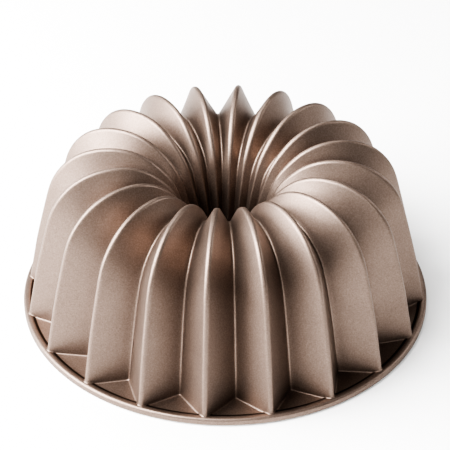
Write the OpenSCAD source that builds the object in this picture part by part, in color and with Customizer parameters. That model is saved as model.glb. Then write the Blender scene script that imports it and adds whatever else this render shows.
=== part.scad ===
// Bundt pan with pleated walls, standing crown up on its rim.
// Z = 0 is the table under the rim, and +Z runs up the tube axis through the crown.
// Three pieces: the aluminium casting, the release lining on the batter side and
// the metallic coat on the outside. All lengths are in millimetres.

/* [Overall size] */
// Diameter over the rim bead
rim_d = 260; // [180:1:320]
// Height from the table to the top of the ridges
pan_h = 107; // [70:1:140]
// Number of pleats around the pan
flutes = 20; // [12:1:24]

/* [Casting] */
// Wall thickness of the casting
wall = 2.8; // [2.5:0.1:3.5]
// Width of the blunt edge along each ridge
ridge_w = 2.6; // [2.2:0.1:4]
// Width of the fillet along each valley
valley_w = 1.0; // [0.6:0.1:2]
// Gap between the table and the lower end of the tube
tip_gap = 3; // [1:0.5:10]

/* [Rim] */
// Height of the flat flange top above the table
flange_h = 3.7; // [3:0.1:5]
// Relief of the flange underside above the resting face
flange_relief = 0.4; // [0.2:0.1:1]
// Height of the rim bead above the table
bead_h = 4.8; // [4:0.1:7]
// Radial width of the rim bead
bead_w = 4; // [3:0.1:6]
// Radius of the outer top corner of the bead
bead_round = 1.6; // [0.8:0.1:2]
// Radius of the outer bottom corner of the bead
foot_round = 0.8; // [0.4:0.1:1]

/* [Surface layers] */
// Thickness of the metallic coat on the outside
coat_t = 0.15; // [0.1:0.05:0.4]
// Thickness of the release lining on the batter side
lining_t = 0.1; // [0.1:0.05:0.4]

/* [Hidden] */
rim_r = rim_d / 2;
sr = rim_d / 260;              // radial scale of the profile points
sz = pan_h / 107;              // height scale of the profile points
pitch = 360 / flutes;
edge_r = rim_r - 1.4;          // radius where the flange plate ends inside the bead
seat_r = rim_r - 5.2;          // inner radius of the resting face
cove = 1.9;                    // radial run of the slope on the inner side of the bead
ring_fn = 180;

// Ridge line and valley line as [radius, height], from the lower end of the tube
// up over the crown and down the side wall. Equal places in the two lists face
// each other across a pleat face.
ridge_pts = [[15.5, 3], [16.6, 19], [19.5, 40], [23.8, 60], [28, 73], [32.4, 84],
    [39.6, 93.4], [48.8, 101.2], [59.5, 105.8], [70, 107], [82, 105.4], [94, 100],
    [103.3, 91.3], [109.5, 81], [113.6, 68], [117.4, 53], [121.9, 34], [127.8, 3.7]];
valley_pts = [[15.9, 3], [18, 19], [21.8, 39], [26.8, 58.5], [29.9, 70.5], [33.4, 78.2],
    [39.4, 84.6], [47, 89.2], [55.5, 92.1], [63, 92.6], [70.5, 91.2], [78, 87.8],
    [84.8, 82.5], [90.4, 75.6], [94.8, 65.5], [98.4, 53], [102.8, 34], [109, 3.7]];
// Pieces that each stretch between two of those points is cut into.
cuts = [1, 1, 1, 1, 1, 2, 2, 2, 2, 2, 2, 2, 1, 1, 1, 1, 1];

function scaled(p) = [p[0] * sr, p[1] * sz];
function last(v) = v[len(v) - 1];

// Smooth curve through the points of a list.
function slope(v, i) = (v[min(i + 1, len(v) - 1)] - v[max(i - 1, 0)]) / 2;
function between(v, i, t) = let (a = v[i], b = v[i + 1], ma = slope(v, i), mb = slope(v, i + 1))
    a * (2 * t * t * t - 3 * t * t + 1) + ma * (t * t * t - 2 * t * t + t)
    + b * (3 * t * t - 2 * t * t * t) + mb * (t * t * t - t * t);
function curve(v) = concat(
    [for (i = [0 : len(cuts) - 1], s = [0 : cuts[i] - 1]) between(v, i, s / cuts[i])],
    [last(v)]);

ridge = curve([for (p = ridge_pts) scaled(p)]);
valley = curve([for (p = valley_pts) scaled(p)]);
stations = len(ridge);

// Unit normal of a line at one station, pointing out of the pan.
function unit(v) = v / norm(v);
function tangent(v, i) = unit(v[min(i + 1, stations - 1)] - v[max(i - 1, 0)]);
function outward(v, i) = let (t = tangent(v, i)) [-t[1], t[0]];

// Blunt edge widths shrink where the tube gets narrow.
function narrow(i) = min(1, ridge[i][0] / 42);
function ridge_w_at(i) = ridge_w * narrow(i);
function valley_w_at(i) = valley_w * narrow(i);

// Depth of a pleat, and the sideways run of one pleat face.
function depth(i) = norm(ridge[i] - valley[i]);
function run(i) = max((ridge[i][0] + valley[i][0]) / 2 * PI / flutes
    - ridge_w_at(i) / 2 - valley_w_at(i) / 2, 0.5);

// Tangent of half the angle between a blunt edge and the pleat face beside it.
function half_turn(i) = tan(atan2(depth(i), run(i)) / 2);

// Ridge width left at depth d, and how much deeper the ridge lies where the
// two pleat faces would otherwise meet before it is reached.
edge_min = 0.3;
function ridge_left(i, d) = ridge_w_at(i) - 2 * d * half_turn(i);
function deeper(i, d) = max(edge_min - ridge_left(i, d), 0) / 2 * depth(i) / run(i);

// A point of a line moved a distance d into the pan. The two ends of the line
// slide along it to the given heights, so that every layer ends on a level cut.
function inset(v, i, d, foot_z) = let (
    p = v[i] - outward(v, i) * d,
    t = tangent(v, i),
    z = i == 0 ? tip_gap : i == stations - 1 ? foot_z : p[1])
    p + t * ((z - p[1]) / t[1] * (i == 0 || i == stations - 1 ? 1 : 0));

// Point at a radius and height, shifted sideways from the direction a.
function at(a, p, side) = [p[0] * cos(a) - side * sin(a), p[0] * sin(a) + side * cos(a), p[1]];

// Four points to a pleat: both sides of the ridge and both sides of the valley.
function row(d, i, foot_z) = let (
    r = inset(ridge, i, d + deeper(i, d), foot_z),
    v = inset(valley, i, d, foot_z),
    wr = max(ridge_left(i, d), edge_min),
    wv = min(valley_w_at(i) + 2 * d * half_turn(i), v[0] * PI / flutes * 0.9))
    [for (k = [0 : flutes - 1], c = [0 : 3])
        c < 2 ? at(k * pitch, r, (c - 0.5) * wr) : at((k + 0.5) * pitch, v, (c - 2.5) * wv)];

// The whole pleated face at depth d, one row after another.
function pleats(d, foot_z) = [for (i = [0 : stations - 1], p = row(d, i, foot_z)) p];

// The edge of the flange plate, in line with the points of a row.
function flange_edge(foot, z) = [for (p = foot)
    let (u = unit([p[0], p[1]])) [u[0] * edge_r, u[1] * edge_r, z]];

// Faces of a closed skin between an upper and a lower grid of the same size.
// The diagonal of each pleat face leans the same way on both sides of a ridge.
cols = flutes * 4;
function cell(a, b, c, d, lean) = lean ? [[a, b, c], [a, c, d]] : [[a, b, d], [b, c, d]];
function sheet(rows, base, up) = [for (i = [0 : rows - 2], j = [0 : cols - 1])
    let (n = (j + 1) % cols,
        a = base + i * cols + j, b = base + i * cols + n,
        c = base + (i + 1) * cols + n, d = base + (i + 1) * cols + j,
        q = cell(a, b, c, d, j % 4 < 2))
    for (f = q) up ? [f[2], f[1], f[0]] : f];
function rim_cap(rows, base, end) = [for (j = [0 : cols - 1])
    let (n = (j + 1) % cols,
        o = end ? (rows - 1) * cols : 0,
        a = o + j, b = o + n, c = base + o + n, d = base + o + j,
        q = [[a, b, c], [a, c, d]])
    for (f = q) end ? f : [f[2], f[1], f[0]]];

module skin(upper, lower) {
    rows = len(upper) / cols;
    base = len(upper);
    polyhedron(
        points = concat(upper, lower),
        faces = concat(sheet(rows, 0, false), sheet(rows, base, true),
            rim_cap(rows, base, false), rim_cap(rows, base, true)),
        convexity = 10);
}

// Section of the rim bead, drawn a distance c inside its finished outside face.
module bead_section(c) {
    corner = rim_r - bead_round;
    polygon([[seat_r, 0], [rim_r - foot_round, 0], [rim_r - foot_round, bead_h - bead_round],
        [corner, bead_h - c], [rim_r - bead_w, bead_h - c],
        [rim_r - bead_w - cove, flange_h - c - 0.1], [seat_r - 0.6, 1.2], [seat_r - 0.6, 0.6]]);
    translate([corner, bead_h - bead_round]) circle(r = bead_round - c, $fn = 48);
    translate([corner - 0.1, foot_round]) square([bead_round + 0.1 - c, bead_h - bead_round - foot_round]);
    translate([rim_r - foot_round, foot_round]) circle(r = foot_round - c, $fn = 48);
}

module cast_body() {
    face = pleats(coat_t, flange_h - coat_t);
    back = pleats(coat_t + wall, flange_relief);
    foot = row(coat_t, stations - 1, flange_h - coat_t);
    color([0.72, 0.72, 0.72]) union() {
        skin(concat(face, flange_edge(foot, flange_h - coat_t)),
            concat(back, flange_edge(foot, flange_relief)));
        rotate_extrude($fn = ring_fn) bead_section(coat_t);
    }
}

module nonstick_lining() {
    color([0.2, 0.19, 0.19])
        skin(pleats(coat_t + wall, flange_relief),
            pleats(coat_t + wall + lining_t, flange_relief));
}

module outer_coat() {
    foot = row(0, stations - 1, flange_h);
    color([0.62, 0.5, 0.44]) union() {
        difference() {
            skin(concat(pleats(0, flange_h), flange_edge(foot, flange_h)),
                concat(pleats(coat_t, flange_h - coat_t),
                    flange_edge(row(coat_t, stations - 1, flange_h - coat_t), flange_h - coat_t)));
            rotate_extrude($fn = ring_fn) bead_section(coat_t);
        }
        rotate_extrude($fn = ring_fn) difference() {
            bead_section(0);
            bead_section(coat_t);
            translate([0, -1]) square([rim_r + 1, 1 + foot_round]);
        }
    }
}

cast_body();
nonstick_lining();
outer_coat();
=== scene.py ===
"""Looks of the bundt pan: fine pleated meshes, baked metallic coat, studio light and camera."""

import math

import bpy
import numpy as np
from mathutils import Matrix


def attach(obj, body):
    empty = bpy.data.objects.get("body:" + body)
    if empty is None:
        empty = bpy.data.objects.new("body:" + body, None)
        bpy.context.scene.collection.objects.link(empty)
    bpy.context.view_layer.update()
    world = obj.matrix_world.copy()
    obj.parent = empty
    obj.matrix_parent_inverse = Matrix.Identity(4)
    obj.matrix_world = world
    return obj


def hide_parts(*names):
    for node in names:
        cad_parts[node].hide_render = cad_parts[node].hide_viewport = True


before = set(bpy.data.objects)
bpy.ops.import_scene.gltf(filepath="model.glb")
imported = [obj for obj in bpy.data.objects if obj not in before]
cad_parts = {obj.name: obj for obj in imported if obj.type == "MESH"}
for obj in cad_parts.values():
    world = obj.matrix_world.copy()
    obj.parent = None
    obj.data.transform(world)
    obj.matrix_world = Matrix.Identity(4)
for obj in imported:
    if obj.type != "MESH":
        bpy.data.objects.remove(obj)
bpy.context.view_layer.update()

MM = 0.001

# --- sizes, in millimetres, the same as the CAD model's ---
FLUTES = 20
RIM_R = 130.0
WALL = 2.8
COAT = 0.15
LINING = 0.10
TIP_Z = 3.0             # lower end of the tube
FLANGE_Z = 3.7          # flat flange top
FLANGE_UNDER = 0.4      # flange underside
BEAD_Z = 4.8            # top of the rim bead
COVE_R = RIM_R - 6.0    # foot of the slope up to the bead
BEAD_ROUND = 1.6
CORNER_R = RIM_R - BEAD_ROUND
CORNER_CLEAR = 0.25     # kept between the foot of a ridge and the bead's corner
FLANGE_INNER_R = RIM_R - 30.0   # where the rim profile starts, well inside the pleats' feet
FOOT_ROUND = 0.8
SEAT_R = RIM_R - 5.2    # inner edge of the resting face

# Ridge and valley line as (radius, height), from the tube's lower end over the crown to the rim.
RIDGE = [(15.5, 3), (16.6, 19), (19.5, 40), (23.8, 60), (28, 73), (32.4, 84),
         (39.6, 93.4), (48.8, 101.2), (59.5, 105.8), (70, 107), (82, 105.4), (94, 100),
         (103.3, 91.3), (109.5, 81), (113.6, 68), (117.4, 53), (121.9, 34), (127.8, 3.7)]
VALLEY = [(15.9, 3), (18, 19), (21.8, 39), (26.8, 58.5), (29.9, 70.5), (33.4, 78.2),
          (39.4, 84.6), (47, 89.2), (55.5, 92.1), (63, 92.6), (70.5, 91.2), (78, 87.8),
          (84.8, 82.5), (90.4, 75.6), (94.8, 65.5), (98.4, 53), (102.8, 34), (109, 3.7)]
CUTS = [3, 3, 4, 4, 5, 5, 5, 5, 5, 5, 5, 5, 5, 4, 3, 3]   # up to the last straight stretch
RIDGE_ROUND = 2.0       # rounding of a ridge, at full pleat depth
VALLEY_ROUND = 1.1      # rounding of a valley
FOOT_FILLET = 1.1       # fillet where the pleats meet the flange
RIDGE_LEAST = 0.35      # least rounding left on an inner ridge
FULL_WIDTH_R = 42.0     # inside this radius the roundings narrow towards the tube

RIDGE_STEPS = 3         # arc steps on each side of a ridge
VALLEY_STEPS = 2
CORNER_STEPS = 6
SECTION_ROUNDS = 4      # passes that settle where the arcs meet the flat face
HALVINGS = 40           # bisection steps down to the flange
INSIDE_FOOT_ROWS = 6
SHARP_ANGLE = math.radians(58)
FLANK = [0.03, 0.08, 0.15, 0.27, 0.42, 0.58, 0.74, 0.88]   # places across a pleat face


def smooth_line(points):
    """Cubic spline through the points, by chord length; returns a function of the point number."""
    p = np.array(points, float)
    n = len(p)
    t = np.concatenate([[0], np.cumsum(np.linalg.norm(np.diff(p, axis=0), axis=1))])
    h = np.diff(t)
    a = np.zeros((n, n))
    b = np.zeros((n, 2))
    a[0, 0] = a[-1, -1] = 1
    for i in range(1, n - 1):
        a[i, i - 1], a[i, i], a[i, i + 1] = h[i - 1], 2 * (h[i - 1] + h[i]), h[i]
        b[i] = 6 * ((p[i + 1] - p[i]) / h[i] - (p[i] - p[i - 1]) / h[i - 1])
    m = np.linalg.solve(a, b)

    def at(i, f):
        u = f * h[i]
        w = h[i] - u
        return ((m[i] * w ** 3 + m[i + 1] * u ** 3) / (6 * h[i])
                + (p[i] / h[i] - m[i] * h[i] / 6) * w + (p[i + 1] / h[i] - m[i + 1] * h[i] / 6) * u)
    return at


def stations(points):
    at = smooth_line(points)
    rows = [at(i, s / c) for i, c in enumerate(CUTS) for s in range(c)]
    rows.append(at(len(CUTS) - 1, 1.0))
    rows.append(np.array(points[-1], float))
    return np.array(rows)


RIDGE_ROWS = stations(RIDGE)
VALLEY_ROWS = stations(VALLEY)


def offset(line, d):
    """The line moved a distance d into the pan, with the tube's end still on its level cut."""
    t = np.gradient(line, axis=0)
    t[-1] = line[-1] - line[-2]
    t /= np.linalg.norm(t, axis=1)[:, None]
    out = line - d * np.stack([-t[:, 1], t[:, 0]], 1)
    out[0] += t[0] * (TIP_Z - out[0, 1]) / t[0, 1]
    return out


def narrow(r):
    return min(1.0, r / FULL_WIDTH_R)


def section(r, v, ridge_round, valley_round):
    """One half pleat from ridge to valley, as 3-D points beside the ridge plane."""
    half = math.pi / FLUTES
    ridge = np.array([r[0], 0.0, r[1]])
    valley = np.array([v[0] * math.cos(half), v[0] * math.sin(half), v[1]])
    across_r = np.array([0.0, 1.0, 0.0])
    down_r = valley - ridge
    down_r[1] = 0
    down_r /= max(np.linalg.norm(down_r), 1e-6)
    across_v = np.array([-math.sin(half), math.cos(half), 0.0])
    up_v = ridge - valley
    up_v -= across_v * (up_v @ across_v)
    up_v /= max(np.linalg.norm(up_v), 1e-6)
    a = valley - ridge
    turn_r = math.atan2(abs(a @ down_r), abs(a @ across_r))
    turn_v = math.atan2(abs(a @ up_v), abs(a @ across_v))

    def on_ridge(turn):
        return ridge + across_r * ridge_round * math.sin(turn) + down_r * ridge_round * (1 - math.cos(turn))

    def on_valley(turn):
        return valley - across_v * valley_round * math.sin(turn) + up_v * valley_round * (1 - math.cos(turn))

    for _ in range(SECTION_ROUNDS):
        end_r, end_v = on_ridge(turn_r), on_valley(turn_v)
        a = end_v - end_r
        turn_r = math.atan2(max(a @ down_r, 0.0), max(a @ across_r, 1e-3))
        turn_v = math.atan2(max(-(a @ up_v), 0.0), max(a @ across_v, 1e-3))
    pts = [on_ridge(turn_r * k / RIDGE_STEPS) for k in range(RIDGE_STEPS + 1)]
    pts += [end_r + (end_v - end_r) * f for f in FLANK]
    pts += [on_valley(turn_v * k / VALLEY_STEPS) for k in range(VALLEY_STEPS, -1, -1)]
    return np.array(pts)


def half_pleats(d):
    """Rows of half pleats at depth d inside the finished outside face."""
    ridge = offset(RIDGE_ROWS, d)
    valley = offset(VALLEY_ROWS, d)
    rows = []
    for i in range(len(ridge)):
        s = narrow(RIDGE_ROWS[i][0])
        ridge_round = max(RIDGE_ROUND * s - d, RIDGE_LEAST * s)
        valley_round = VALLEY_ROUND * s + d * (0.4 + 0.6 * s)
        rows.append(section(ridge[i], valley[i], ridge_round, valley_round))
    return np.array(rows)


def rim_profile(c):
    """Top of the flange and bead from inside to outside, a distance c under the finished face."""
    flange, crest = FLANGE_Z - c, BEAD_Z - c
    pts = [(FLANGE_INNER_R, flange), (COVE_R - 0.35, flange), (COVE_R - 0.05, flange + 0.04),
           (COVE_R + 0.35, flange + 0.16), (COVE_R + 1.1, flange + 0.44), (COVE_R + 1.9, flange + 0.74),
           (COVE_R + 2.4, crest - 0.16), (COVE_R + 2.95, crest - 0.04), (CORNER_R - 0.7, crest)]
    return np.array(pts)


def rim_edge(c):
    """The bead's outer corner and side, down to where the coat ends."""
    arc = [(CORNER_R + (BEAD_ROUND - c) * math.sin(a), BEAD_Z - BEAD_ROUND + (BEAD_ROUND - c) * math.cos(a))
           for a in np.linspace(0, math.pi / 2, CORNER_STEPS + 1)]
    return np.array(arc + [(RIM_R - c, FOOT_ROUND + 0.4), (RIM_R - c, FOOT_ROUND)])


def finish_column(wall, profile, edge):
    """Cuts one wall column off where it meets the flange or bead and runs it out over the rim."""
    start, end = wall[-2], wall[-1]
    u = end[:2] / np.linalg.norm(end[:2])

    def on_rim(r):
        return np.array([u[0] * r, u[1] * r, np.interp(r, profile[:, 0], profile[:, 1])])

    lo, hi = 0.0, 1.0
    for _ in range(HALVINGS):
        mid = (lo + hi) / 2
        p = start + (end - start) * mid
        if p[2] > on_rim(np.linalg.norm(p[:2]))[2]:
            lo = mid
        else:
            hi = mid
    foot = start + (end - start) * lo
    r_foot = np.linalg.norm(foot[:2])
    r_out = min(r_foot + FOOT_FILLET, CORNER_R - CORNER_CLEAR)
    up = (start - foot) / np.linalg.norm(start - foot)
    a, b = foot + up * FOOT_FILLET, on_rim(r_out)
    out = [start + (a - start) * f for f in (0.25, 0.5, 0.75, 0.92, 1.0)]
    out += [(1 - t) ** 2 * a + 2 * t * (1 - t) * foot + t * t * b for t in (0.25, 0.5, 0.75, 1.0)]
    flat = COVE_R - 0.35
    rest = [r_out + max(flat - r_out, 0) * f for f in (0.3, 0.65)] + list(profile[1:, 0])
    out += [on_rim(max(r, r_out + 0.02 * (k + 1))) for k, r in enumerate(rest)]
    out += [np.array([u[0] * r, u[1] * r, z]) for r, z in edge]
    return np.array(out)


def whirl(half):
    """Repeats half pleats (rows, places, 3) all round and returns (rows, columns, 3)."""
    mirror = half[:, 1:-1][:, ::-1] * np.array([1, -1, 1])
    step = 2 * math.pi / FLUTES
    c, s = math.cos(step), math.sin(step)
    turned = mirror.copy()
    turned[..., 0] = mirror[..., 0] * c - mirror[..., 1] * s
    turned[..., 1] = mirror[..., 0] * s + mirror[..., 1] * c
    pleat = np.concatenate([half, turned], axis=1)
    out = []
    for k in range(FLUTES):
        c, s = math.cos(k * step), math.sin(k * step)
        p = pleat.copy()
        p[..., 0] = pleat[..., 0] * c - pleat[..., 1] * s
        p[..., 1] = pleat[..., 0] * s + pleat[..., 1] * c
        out.append(p)
    return np.concatenate(out, axis=1)


def outside(d):
    """The coat's outside face at depth d, from the tube's lower end to the rim's outer edge."""
    half = half_pleats(d)
    profile, edge = rim_profile(d), rim_edge(d)
    cols = [np.concatenate([half[:-1, j], finish_column(half[:, j], profile, edge)])
            for j in range(half.shape[1])]
    return whirl(np.stack(cols, axis=1))


def level_foot(half, z, rows):
    """Ends wall columns on the level z, with the last stretch cut into rows."""
    start, end = half[-2], half[-1]
    f = (start[:, 2] - z) / (start[:, 2] - end[:, 2])
    foot = start + (end - start) * f[:, None]
    tail = [start + (foot - start) * k / rows for k in range(1, rows + 1)]
    return np.concatenate([half[:-1], np.array(tail)])


def inside(d):
    """The batter side at depth d, from the tube's lower end to the flange underside."""
    return whirl(level_foot(half_pleats(d), FLANGE_UNDER, INSIDE_FOOT_ROWS))


def mesh_piece(name, grids):
    """Joins grids of equal column count, one after another, into one closed skin of quads."""
    pts = np.concatenate(grids)
    rows, cols = pts.shape[:2]
    verts = pts.reshape(-1, 3) * MM
    a, b = np.meshgrid(np.arange(rows), np.arange(cols), indexing="ij")
    a2, b2 = (a + 1) % rows, (b + 1) % cols
    quads = np.stack([a2 * cols + b, a2 * cols + b2, a * cols + b2, a * cols + b], -1).reshape(-1, 4)
    mesh = bpy.data.meshes.new(name)
    mesh.from_pydata(verts.tolist(), [], quads.tolist())
    mesh.validate()
    mesh.update()
    mesh.shade_smooth()
    mesh.set_sharp_from_angle(angle=SHARP_ANGLE)
    obj = bpy.data.objects.new(name, mesh)
    bpy.context.collection.objects.link(obj)
    return obj


def ring(profile_points, like):
    """Rows of a turned surface, in line with the columns of a grid row."""
    u = like[:, :2] / np.linalg.norm(like[:, :2], axis=1)[:, None]
    return np.array([np.concatenate([u * r, np.full((len(u), 1), z)], 1) for r, z in profile_points])


GAP = 0.01   # keeps the layers' hidden faces apart

# metallic coat: outside face, then back under itself to the tube's lower end
coat_out = outside(0.0)
coat_in = outside(COAT)
coat = mesh_piece("metallic_coat", [coat_out, coat_in[::-1]])

# casting: under the coat, round the bare resting face and flange underside, and up the batter side
cast_out = outside(COAT + GAP)
cast_in = inside(COAT + WALL - GAP)
foot_arc = [(RIM_R - COAT - FOOT_ROUND * (1 - math.cos(a)), FOOT_ROUND * (1 - math.sin(a)))
            for a in np.linspace(0.15, math.pi / 2, 5)]
seat = [(SEAT_R + 0.5, 0.0), (SEAT_R, 0.12), (SEAT_R - 0.4, FLANGE_UNDER)]
under = ring(foot_arc + seat, cast_out[-1])
casting = mesh_piece("casting", [cast_out, under, cast_in[::-1]])

# release lining: batter side face, then back under itself
lining_out = inside(COAT + WALL)
lining_in = inside(COAT + WALL + LINING)
lining = mesh_piece("release_lining", [lining_out, lining_in[::-1]])


# --- materials ---
def material(name):
    mat = bpy.data.materials.new(name)
    mat.use_nodes = True
    nt = mat.node_tree
    bsdf = nt.nodes["Principled BSDF"]
    return mat, nt, bsdf


def link(nt, a, b):
    nt.links.new(a, b)


def coords(nt):
    return nt.nodes.new("ShaderNodeTexCoord").outputs["Object"]


def noise(nt, where, scale, detail=2.0, rough=0.5):
    n = nt.nodes.new("ShaderNodeTexNoise")
    n.inputs["Scale"].default_value = scale
    n.inputs["Detail"].default_value = detail
    n.inputs["Roughness"].default_value = rough
    link(nt, where, n.inputs["Vector"])
    return n.outputs["Fac"]


def ramp(nt, fac, stops):
    r = nt.nodes.new("ShaderNodeValToRGB")
    el = r.color_ramp.elements
    while len(el) < len(stops):
        el.new(0.5)
    for e, (pos, col) in zip(el, stops):
        e.position = pos
        e.color = (*col, 1.0)
    link(nt, fac, r.inputs["Fac"])
    return r.outputs["Color"]


def mapped(nt, fac, lo, hi, out_lo, out_hi):
    m = nt.nodes.new("ShaderNodeMapRange")
    m.inputs["From Min"].default_value = lo
    m.inputs["From Max"].default_value = hi
    m.inputs["To Min"].default_value = out_lo
    m.inputs["To Max"].default_value = out_hi
    link(nt, fac, m.inputs["Value"])
    return m.outputs["Result"]


def bump(nt, height, strength, distance):
    b = nt.nodes.new("ShaderNodeBump")
    b.inputs["Strength"].default_value = strength
    b.inputs["Distance"].default_value = distance
    link(nt, height, b.inputs["Height"])
    return b


def blend_colour(nt, fac, colour, other):
    """Mixes a colour socket towards a second colour by a factor socket."""
    m = nt.nodes.new("ShaderNodeMix")
    m.data_type = "RGBA"
    link(nt, fac, m.inputs["Factor"])
    link(nt, colour, m.inputs["A"])
    m.inputs["B"].default_value = (*other, 1.0)
    return m.outputs["Result"]


def times(nt, a, b):
    m = nt.nodes.new("ShaderNodeMath")
    m.operation = "MULTIPLY"
    link(nt, a, m.inputs[0])
    link(nt, b, m.inputs[1])
    return m.outputs["Value"]


def cove_shade_mask(nt, where):
    """1 in the narrow trough along the bead's inner side, where a dark line of painted shade goes, and 0
    elsewhere.
    """
    split = nt.nodes.new("ShaderNodeSeparateXYZ")
    link(nt, where, split.inputs["Vector"])
    flat = nt.nodes.new("ShaderNodeCombineXYZ")
    link(nt, split.outputs["X"], flat.inputs["X"])
    link(nt, split.outputs["Y"], flat.inputs["Y"])
    length = nt.nodes.new("ShaderNodeVectorMath")
    length.operation = "LENGTH"
    link(nt, flat.outputs["Vector"], length.inputs[0])
    r = length.outputs["Value"]
    inner = mapped(nt, r, (COVE_R - 0.1) * MM, (COVE_R + 0.3) * MM, 0.0, 1.0)
    outer = mapped(nt, r, (COVE_R + 1.5) * MM, (COVE_R + 2.0) * MM, 1.0, 0.0)
    low = mapped(nt, split.outputs["Z"], (FLANGE_Z + 0.6) * MM, (FLANGE_Z + 1.0) * MM, 1.0, 0.0)
    return times(nt, times(nt, inner, outer), low)


def coat_material():
    mat, nt, bsdf = material("metallic_coat")
    where = coords(nt)
    flake = noise(nt, where, 1150.0, 2.0, 0.65)
    cloud = noise(nt, where, 60.0, 2.0)
    colour = ramp(nt, flake, [(0.30, (0.168, 0.125, 0.102)), (0.50, (0.195, 0.148, 0.123)),
                              (0.68, (0.228, 0.175, 0.147))])
    # painted shade: the trough along the bead's inner side is darkened to near black in the coat's colour
    colour = blend_colour(nt, cove_shade_mask(nt, where), colour, (0.035, 0.022, 0.016))
    link(nt, colour, bsdf.inputs["Base Color"])
    link(nt, mapped(nt, cloud, 0.3, 0.7, 0.47, 0.53), bsdf.inputs["Roughness"])
    bsdf.inputs["Metallic"].default_value = 1.0
    b = bump(nt, flake, 0.11, 0.0001)
    link(nt, b.outputs["Normal"], bsdf.inputs["Normal"])
    return mat


def lining_material():
    mat, nt, bsdf = material("release_lining")
    where = coords(nt)
    fine = noise(nt, where, 1200.0, 2.0)
    cloud = noise(nt, where, 45.0, 3.0)
    colour = ramp(nt, cloud, [(0.3, (0.030, 0.027, 0.026)), (0.7, (0.048, 0.043, 0.041))])
    link(nt, colour, bsdf.inputs["Base Color"])
    link(nt, mapped(nt, fine, 0.3, 0.7, 0.34, 0.46), bsdf.inputs["Roughness"])
    b = bump(nt, fine, 0.2, 0.0002)
    link(nt, b.outputs["Normal"], bsdf.inputs["Normal"])
    return mat


def cast_material():
    mat, nt, bsdf = material("cast_aluminium")
    where = coords(nt)
    grain = noise(nt, where, 900.0, 3.0)
    cloud = noise(nt, where, 70.0, 3.0)
    colour = ramp(nt, cloud, [(0.3, (0.58, 0.58, 0.57)), (0.7, (0.70, 0.70, 0.69))])
    link(nt, colour, bsdf.inputs["Base Color"])
    link(nt, mapped(nt, grain, 0.3, 0.7, 0.36, 0.52), bsdf.inputs["Roughness"])
    bsdf.inputs["Metallic"].default_value = 1.0
    b = bump(nt, grain, 0.3, 0.0003)
    link(nt, b.outputs["Normal"], bsdf.inputs["Normal"])
    return mat


for piece, node, slot, mat in ((coat, "outer_coat", "coat", coat_material()),
                               (casting, "cast_body", "casting", cast_material()),
                               (lining, "nonstick_lining", "lining", lining_material())):
    piece.data.materials.append(mat)
    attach(piece, "root")
    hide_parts(node)


# --- floor, light and camera ---
def area(name, place, aim, size, power):
    data = bpy.data.lights.new(name, "AREA")
    data.shape = "RECTANGLE"
    data.size, data.size_y = size
    data.energy = power
    obj = bpy.data.objects.new(name, data)
    bpy.context.collection.objects.link(obj)
    obj.matrix_world = look(place, aim)


def look(place, aim, roll=0.0):
    place, aim = np.array(place, float), np.array(aim, float)
    fwd = (aim - place) / np.linalg.norm(aim - place)
    right = np.cross(fwd, [0, 0, 1])
    right /= np.linalg.norm(right)
    up = np.cross(right, fwd)
    c, s = math.cos(roll), math.sin(roll)
    r2, u2 = c * right + s * up, -s * right + c * up
    m = Matrix.Identity(4)
    for k in range(3):
        m[k][0], m[k][1], m[k][2], m[k][3] = r2[k], u2[k], -fwd[k], place[k]
    return m


CAM_TURN = math.radians(5.66)      # the camera stands this far round from -Y towards +X
CAM_RISE = math.radians(35.67)
CAM_DISTANCE = 1.195
CAM_AIM_Z = 0.0537
CAM_ROLL = math.radians(-0.155)
CAM_LENS = 151.2

side = np.array([math.cos(CAM_TURN), math.sin(CAM_TURN), 0])
toward = np.array([math.sin(CAM_TURN), -math.cos(CAM_TURN), 0])
aim = np.array([0, 0, CAM_AIM_Z])
eye = aim + CAM_DISTANCE * (math.cos(CAM_RISE) * toward + math.sin(CAM_RISE) * np.array([0, 0, 1]))
cam = bpy.data.cameras.new("camera")
cam.lens = CAM_LENS
cam.sensor_width = 36.0
cam_obj = bpy.data.objects.new("camera", cam)
bpy.context.collection.objects.link(cam_obj)
cam_obj.matrix_world = look(eye, aim, CAM_ROLL)
bpy.context.scene.camera = cam_obj

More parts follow.
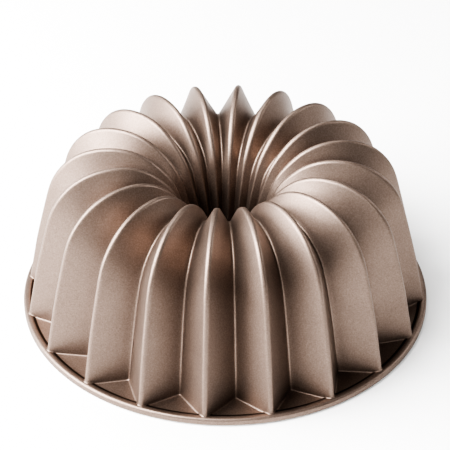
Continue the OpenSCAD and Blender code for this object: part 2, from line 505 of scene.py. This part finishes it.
FLOOR_HALF = 6.0
FLOOR_DROP = 0.0002      # keeps the floor off the pan's resting face
corners = [(x * FLOOR_HALF, y * FLOOR_HALF, 0) for x, y in ((-1, -1), (1, -1), (1, 1), (-1, 1))]
floor_mesh = bpy.data.meshes.new("floor")
floor_mesh.from_pydata(corners, [], [(0, 1, 2, 3)])
floor = bpy.data.objects.new("floor", floor_mesh)
bpy.context.collection.objects.link(floor)
floor.location.z = -FLOOR_DROP
fmat, fnt, fbsdf = material("floor")
fbsdf.inputs["Roughness"].default_value = 0.9
paper = ramp(fnt, noise(fnt, coords(fnt), 3.0), [(0.3, (0.86, 0.855, 0.85)), (0.7, (0.88, 0.875, 0.87))])
link(fnt, paper, fbsdf.inputs["Base Color"])
floor_mesh.materials.append(fmat)

world = bpy.data.worlds.new("studio")
bpy.context.scene.world = world
world.use_nodes = True
background = world.node_tree.nodes["Background"]
background.inputs["Color"].default_value = (1, 1, 1, 1)
background.inputs["Strength"].default_value = 0.2

LIGHT_DISTANCE = 1.6
LIGHT_AIM = (0, 0, 0.05)


def from_camera(right, front, up):
    """A place given as distances to the camera's right, towards the camera and up."""
    p = right * side + front * toward
    return (p[0], p[1], up)


# Softboxes on a ring around the pan: degrees to the camera's right (negative is left), degrees up,
# width and height in metres, and watts. The key comes from the left.
SOFTBOXES = {
    "key_low": (-80, 16, 1.3, 0.7, 34),
    "key_mid": (-78, 38, 1.3, 0.7, 32),
    "key_high": (-74, 58, 1.0, 0.6, 28),
    "key_top": (-68, 66, 0.9, 0.6, 10),
    "back_left": (-130, 30, 0.9, 0.6, 7),
    "back_top": (180, 55, 0.8, 0.5, 6),
    "right": (105, 30, 0.9, 0.6, 6),
    "front": (10, 30, 0.9, 0.5, 3),
}
for name, (turn, rise, wide, high, watts) in SOFTBOXES.items():
    turn, rise = math.radians(turn), math.radians(rise)
    out = LIGHT_DISTANCE * math.cos(rise)
    place = from_camera(out * math.sin(turn), out * math.cos(turn), LIGHT_DISTANCE * math.sin(rise))
    area(name, place, LIGHT_AIM, (wide, high), watts)

view = bpy.context.scene.view_settings
view.view_transform = "AgX"
view.look = "AgX - Very High Contrast"
view.exposure = 0.3
